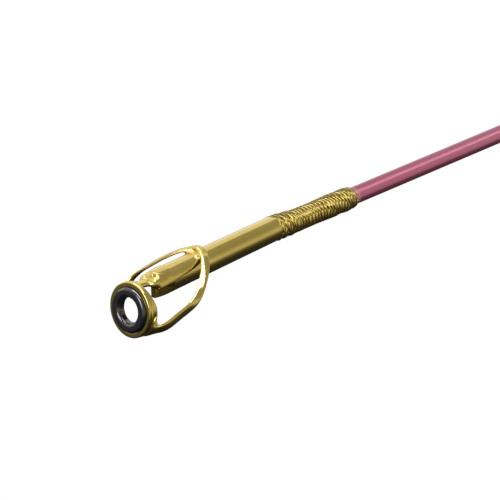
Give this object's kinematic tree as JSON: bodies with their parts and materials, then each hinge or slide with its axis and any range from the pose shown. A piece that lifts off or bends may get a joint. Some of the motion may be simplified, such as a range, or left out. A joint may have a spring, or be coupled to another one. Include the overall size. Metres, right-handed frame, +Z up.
{
  "type": "rhythmic gymnastics ribbon stick",
  "caption": "Slim tapered stick with a lined metal ring braced on its tip for tying a ribbon, a wound metallic thread joint and a rubber grip.",
  "frame": {"origin": "centre of the butt plug's flat end face", "axes": "+Y out of the butt along the stick, the tip ring is at -Y; +Z up, the ring hangs towards -Z"},
  "size_m": [0.0116, 0.6, 0.0111],
  "materials": {
    "black_ceramic": "polished black ceramic",
    "clear_adhesive": "set clear adhesive",
    "gold_metal": "polished olive-gold plate",
    "gold_brazing": "gold-plated brazing",
    "gold_thread": "metallic winding thread",
    "clear_lacquer": "clear gloss lacquer",
    "pink_glass_fibre": "satin-gloss dusky pink paint",
    "pink_rubber": "matte rubber",
    "plug_rubber": "matte rubber"
  },
  "bodies": {
    "root": {"ring_insert": "black_ceramic", "ring_bond": "clear_adhesive", "ring_frame": "gold_metal", "ring_neck": "gold_metal", "tube_nose": "gold_metal", "brace_strap": "gold_metal", "neck_brazing": "gold_brazing", "saddle_brazing": "gold_brazing", "root_brazing": "gold_brazing", "tip_tube": "gold_metal", "tube_adhesive": "clear_adhesive", "tip_thread": "gold_thread", "tip_lacquer": "clear_lacquer", "stick": "pink_glass_fibre", "grip_thread": "gold_thread", "grip_lacquer": "clear_lacquer", "grip_trim": "gold_metal", "grip_sleeve": "pink_rubber", "grip_adhesive": "clear_adhesive", "butt_plug": "plug_rubber"}
  },
  "joints": []
}
